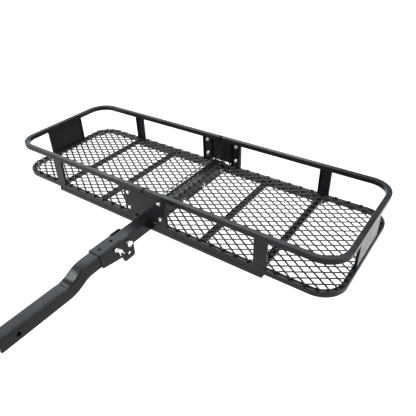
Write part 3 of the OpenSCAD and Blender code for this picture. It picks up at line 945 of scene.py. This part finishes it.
def tube_welds(bm):
    """Beads where the support tubes meet the main tube."""
    front_low, front_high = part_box("front_left_support")
    rear_low, rear_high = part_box("rear_support")
    for x in (-TUBE_HALF, TUBE_HALF):
        weld_bead(bm, (x, front_low.y, front_low.z + 0.001), (x, front_low.y, front_high.z - 0.001))
        weld_bead(bm, (x, rear_low.y, TUBE_LOW.z + 0.006), (x, rear_low.y, rear_low.z + 0.004))


WELDS_OF = {
    "_post": upright_welds,
    "_joint_upright": upright_welds,
    "_end_plate": end_plate_welds,
    "_crossbar": crossbar_welds,
    "_support": stitch_welds,
}


def basket_welds():
    """Beads where the uprights, plates, cross bars and supports meet the rails."""
    bm = bmesh.new()
    for name in nodes:
        for ending, weld in WELDS_OF.items():
            if name.endswith(ending):
                weld(bm, *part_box(name))
    tube_welds(bm)
    add_piece("basket_welds", bm, "basket", "black_coat")


def bracket_welds():
    """Beads that hold the hinge bracket on the shank."""
    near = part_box("hinge_bracket")[0].y
    shank_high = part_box("hitch_shank")[1]
    top, low = shank_high.z, shank_high.z - 2 * TUBE_HALF
    bm = bmesh.new()
    weld_bead(bm, (-TUBE_HALF + 0.004, near, top), (TUBE_HALF - 0.004, near, top), 0.0026)
    for x in (-TUBE_HALF, TUBE_HALF):
        weld_bead(bm, (x, near, top - 0.006), (x, near, low + 0.006), 0.0026)
        weld_bead(bm, (x, near + 0.012, low + 0.0015), (x, shank_high.y - 0.014, low + 0.0015))
    add_piece("bracket_welds", bm, "hitch", "black_coat")


# ---------- Stage, light and camera ----------

FLOOR_DROP = 0.42


def stage():
    """A plain pale floor well below the carrier, which hangs from its shank."""
    bm = bmesh.new()
    bmesh.ops.create_grid(bm, x_segments=2, y_segments=2, size=30)
    floor = new_object("studio_floor", bm)
    floor.data.materials.append(pale_floor("studio_floor"))
    floor.location.z = cad_box[0].z - FLOOR_DROP


def softbox(name, place, aim, size, power, colour):
    """A rectangular area light at place that faces aim."""
    data = bpy.data.lights.new(name, "AREA")
    data.shape = "RECTANGLE"
    data.size, data.size_y = size
    data.energy = power
    data.color = colour
    lamp = bpy.data.objects.new(name, data)
    lamp.location = place
    lamp.rotation_mode = "QUATERNION"
    lamp.rotation_quaternion = (Vector(aim) - Vector(place)).to_track_quat("-Z", "Y")
    bpy.context.scene.collection.objects.link(lamp)


def lights():
    """A white room, a large softbox over the back and three strips that catch the tubes' edges."""
    middle = Vector((0, TRAY_Y, 0.1))
    cool, cooler, blue = (0.92, 0.97, 1.0), (0.90, 0.96, 1.0), (0.86, 0.94, 1.0)
    softbox("back_softbox", middle + Vector((-1.5, 1.3, 1.9)), middle, (3.8, 1.8), 84, cooler)
    softbox("front_strip", middle + Vector((-0.9, -1.9, 2.0)), middle, (3.4, 0.6), 120, cool)
    softbox("right_strip", (2.2, 1.5, 2.2), (0, 0.4, 0), (2.8, 0.6), 120, cool)
    softbox("left_strip", (-3.3, 2.45, 0.34), (-0.75, TRAY_Y, 0.17), (1.8, 0.8), 26, blue)
    world = bpy.data.worlds.new("studio")
    world.use_nodes = True
    sky = world.node_tree.nodes["Background"]
    sky.inputs["Color"].default_value = (0.985, 0.995, 1.0, 1)
    sky.inputs["Strength"].default_value = 0.85
    bpy.context.scene.world = world
    bpy.context.scene.view_settings.view_transform = "Standard"


CAMERA_AT = Vector((0.9960, -0.3606, 1.0327))
CAMERA_AZIMUTH = 36.81
CAMERA_ELEVATION = 34.83
CAMERA_ROLL = -2.33
SENSOR = 36.0
LENS = 38.15
SHIFT_X = 0.0101


def camera():
    """The camera at the product view: right of the shank and above the near rail."""
    yaw, pitch, roll = (math.radians(a) for a in (CAMERA_AZIMUTH, CAMERA_ELEVATION, CAMERA_ROLL))
    ahead = Vector((-math.sin(yaw) * math.cos(pitch), math.cos(yaw) * math.cos(pitch), -math.sin(pitch)))
    level = ahead.cross(Vector((0, 0, 1))).normalized()
    upright = level.cross(ahead)
    right = level * math.cos(roll) + upright * math.sin(roll)
    up = upright * math.cos(roll) - level * math.sin(roll)
    data = bpy.data.cameras.new("camera")
    data.sensor_width = SENSOR
    data.lens = LENS
    data.shift_x = SHIFT_X
    data.clip_start, data.clip_end = 0.05, 100
    eye = bpy.data.objects.new("camera", data)
    turn = Matrix((right, up, -ahead)).transposed().to_4x4()
    eye.matrix_world = Matrix.Translation(CAMERA_AT) @ turn
    bpy.context.scene.collection.objects.link(eye)
    bpy.context.scene.camera = eye


# ---------- Build ----------

finish_cad_nodes()
mesh_floor("left", -1)
mesh_floor("right", 1)
rail_caps()
joint_fasteners()
through_fasteners()
pivot_fasteners()
lock_pin()
r_clip()
shank()
basket_welds()
bracket_welds()
stage()
lights()
camera()
